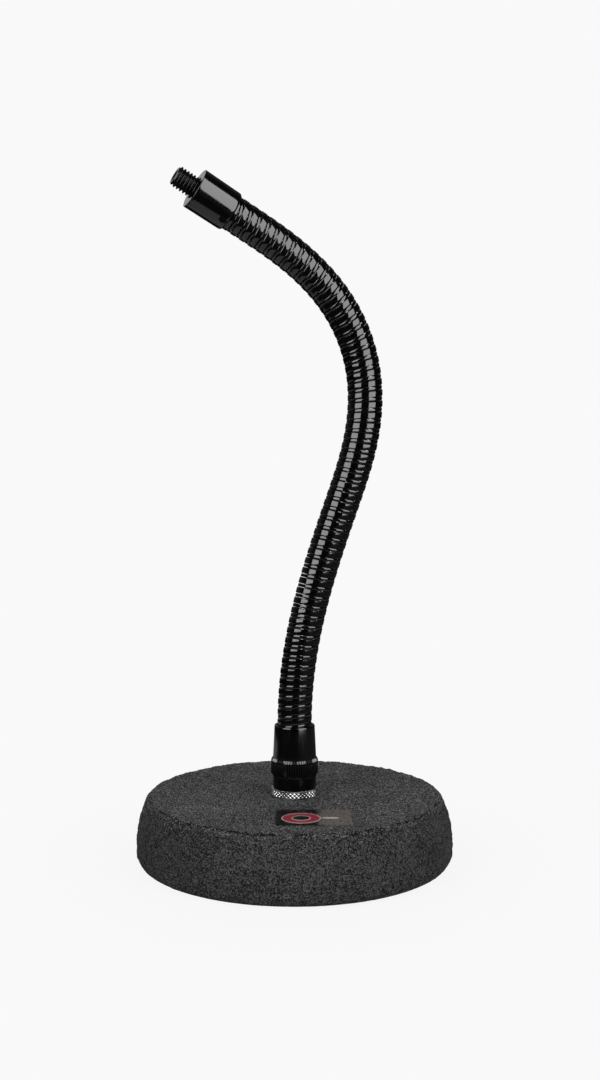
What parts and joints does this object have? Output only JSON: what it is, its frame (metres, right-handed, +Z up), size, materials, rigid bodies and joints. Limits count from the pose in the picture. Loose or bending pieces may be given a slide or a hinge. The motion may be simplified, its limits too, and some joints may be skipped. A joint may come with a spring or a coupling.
{
  "type": "desktop microphone stand",
  "caption": "Weighted round desktop microphone stand with a flexible gooseneck, knurled lock ring and a threaded stud for a microphone clip.",
  "frame": {"origin": "centre of the underside of the base pad, where the stand rests on the desk", "axes": "+Z up along the base stud; the neck leans to +X, curls back to -X and its free end comes a little to -Y, the front"},
  "size_m": [0.1454, 0.1452, 0.3104],
  "materials": {
    "textured_iron": "rough sand-textured charcoal paint on cast iron",
    "foam_pad": "matt closed-cell foam",
    "zinc_steel": "bright zinc plate",
    "chrome_ring": "bright chrome on a rope knurl",
    "black_fitting": "gloss black",
    "outer_wire": "gloss black wire",
    "core_wire": "gloss black wire",
    "black_oxide": "black oxide, semi-gloss",
    "label_film": "satin printed film"
  },
  "bodies": {
    "base": {"base_casting": "textured_iron", "base_pad": "foam_pad", "base_stud": "zinc_steel", "flat_washer": "zinc_steel", "lock_washer": "zinc_steel", "stud_nut": "zinc_steel", "label_plate": "label_film"},
    "lock_ring": {"lock_ring": "chrome_ring"},
    "neck_01": {"lower_fitting": "black_fitting", "lower_sleeve": "black_fitting", "outer_wire_01": "outer_wire", "core_wire_01": "core_wire"},
    "neck_02": {"outer_wire_02": "outer_wire", "core_wire_02": "core_wire"},
    "neck_03": {"outer_wire_03": "outer_wire", "core_wire_03": "core_wire"},
    "neck_04": {"outer_wire_04": "outer_wire", "core_wire_04": "core_wire"},
    "neck_05": {"outer_wire_05": "outer_wire", "core_wire_05": "core_wire"},
    "neck_06": {"outer_wire_06": "outer_wire", "core_wire_06": "core_wire"},
    "neck_07": {"outer_wire_07": "outer_wire", "core_wire_07": "core_wire"},
    "neck_08": {"outer_wire_08": "outer_wire", "core_wire_08": "core_wire"},
    "neck_09": {"outer_wire_09": "outer_wire", "core_wire_09": "core_wire"},
    "neck_10": {"outer_wire_10": "outer_wire", "core_wire_10": "core_wire"},
    "neck_11": {"outer_wire_11": "outer_wire", "core_wire_11": "core_wire"},
    "neck_12": {"outer_wire_12": "outer_wire", "core_wire_12": "core_wire"},
    "neck_13": {"outer_wire_13": "outer_wire", "core_wire_13": "core_wire"},
    "neck_14": {"outer_wire_14": "outer_wire", "core_wire_14": "core_wire", "top_ferrule": "black_fitting", "set_screw": "black_oxide", "top_stud": "black_oxide"}
  },
  "joints": [
    {"name": "ring_turn", "type": "hinge", "parent": "base", "child": "lock_ring", "pos_m": [0, 0, 0.03], "axis": [0, 0, 1], "continuous": true},
    {"name": "neck_turn", "type": "hinge", "parent": "base", "child": "neck_01", "pos_m": [0, 0, 0.0335], "axis": [0, 0, 1], "range_deg": [-180, 180]},
    {"name": "bend_01", "type": "hinge", "parent": "neck_01", "child": "neck_02", "pos_m": [0.00083, 0, 0.08128], "axis": [0, 1, 0], "range_deg": [-30, 10], "deforming": ["outer_wire_01", "core_wire_01", "outer_wire_02", "core_wire_02"]},
    {"name": "sway_02", "type": "hinge", "parent": "neck_02", "child": "neck_03", "pos_m": [0.00326, 0, 0.09961], "axis": [0.9853, 0, -0.1711], "range_deg": [-20, 20], "deforming": ["outer_wire_03", "core_wire_03"]},
    {"name": "bend_03", "type": "hinge", "parent": "neck_03", "child": "neck_04", "pos_m": [0.00708, 0, 0.11771], "axis": [0, 1, 0], "range_deg": [-27, 13], "deforming": ["outer_wire_04", "core_wire_04"]},
    {"name": "sway_04", "type": "hinge", "parent": "neck_04", "child": "neck_05", "pos_m": [0.012, 0, 0.13554], "axis": [0.9572, 0, -0.2893], "range_deg": [-20, 20], "deforming": ["outer_wire_05", "core_wire_05"]},
    {"name": "bend_05", "type": "hinge", "parent": "neck_05", "child": "neck_06", "pos_m": [0.01765, 0, 0.15315], "axis": [0, 1, 0], "range_deg": [-22, 18], "deforming": ["outer_wire_06", "core_wire_06"]},
    {"name": "sway_06", "type": "hinge", "parent": "neck_06", "child": "neck_07", "pos_m": [0.02361, 0, 0.17067], "axis": [0.9475, 0, -0.3196], "range_deg": [-20, 20], "deforming": ["outer_wire_07", "core_wire_07"]},
    {"name": "bend_07", "type": "hinge", "parent": "neck_07", "child": "neck_08", "pos_m": [0.0289, 0, 0.18839], "axis": [0, 1, 0], "range_deg": [-5, 35], "deforming": ["outer_wire_08", "core_wire_08"]},
    {"name": "sway_08", "type": "hinge", "parent": "neck_08", "child": "neck_09", "pos_m": [0.03178, 0, 0.20664], "axis": [0.998, 0, -0.0636], "range_deg": [-22, 18], "deforming": ["outer_wire_09", "core_wire_09"]},
    {"name": "bend_09", "type": "hinge", "parent": "neck_09", "child": "neck_10", "pos_m": [0.0309, -0.0002, 0.22508], "axis": [-0.0047, 0.9996, 0.0279], "range_deg": [-3, 48], "deforming": ["outer_wire_10", "core_wire_10"]},
    {"name": "sway_10", "type": "hinge", "parent": "neck_10", "child": "neck_11", "pos_m": [0.02562, -0.00125, 0.24272], "axis": [0.9141, 0, 0.4055], "range_deg": [-28, 12], "deforming": ["outer_wire_11", "core_wire_11"]},
    {"name": "bend_11", "type": "hinge", "parent": "neck_11", "child": "neck_12", "pos_m": [0.01619, -0.00357, 0.25841], "axis": [-0.1001, 0.9866, 0.1288], "range_deg": [-3, 45], "deforming": ["outer_wire_12", "core_wire_12"]},
    {"name": "sway_12", "type": "hinge", "parent": "neck_12", "child": "neck_13", "pos_m": [0.00365, -0.00725, 0.27145], "axis": [0.6505, 0, 0.7595], "range_deg": [-27, 13], "deforming": ["outer_wire_13", "core_wire_13"]},
    {"name": "bend_13", "type": "hinge", "parent": "neck_13", "child": "neck_14", "pos_m": [-0.01071, -0.01205, 0.28206], "axis": [-0.2351, 0.9597, 0.1538], "range_deg": [-11, 29], "deforming": ["outer_wire_14", "core_wire_14"]}
  ]
}
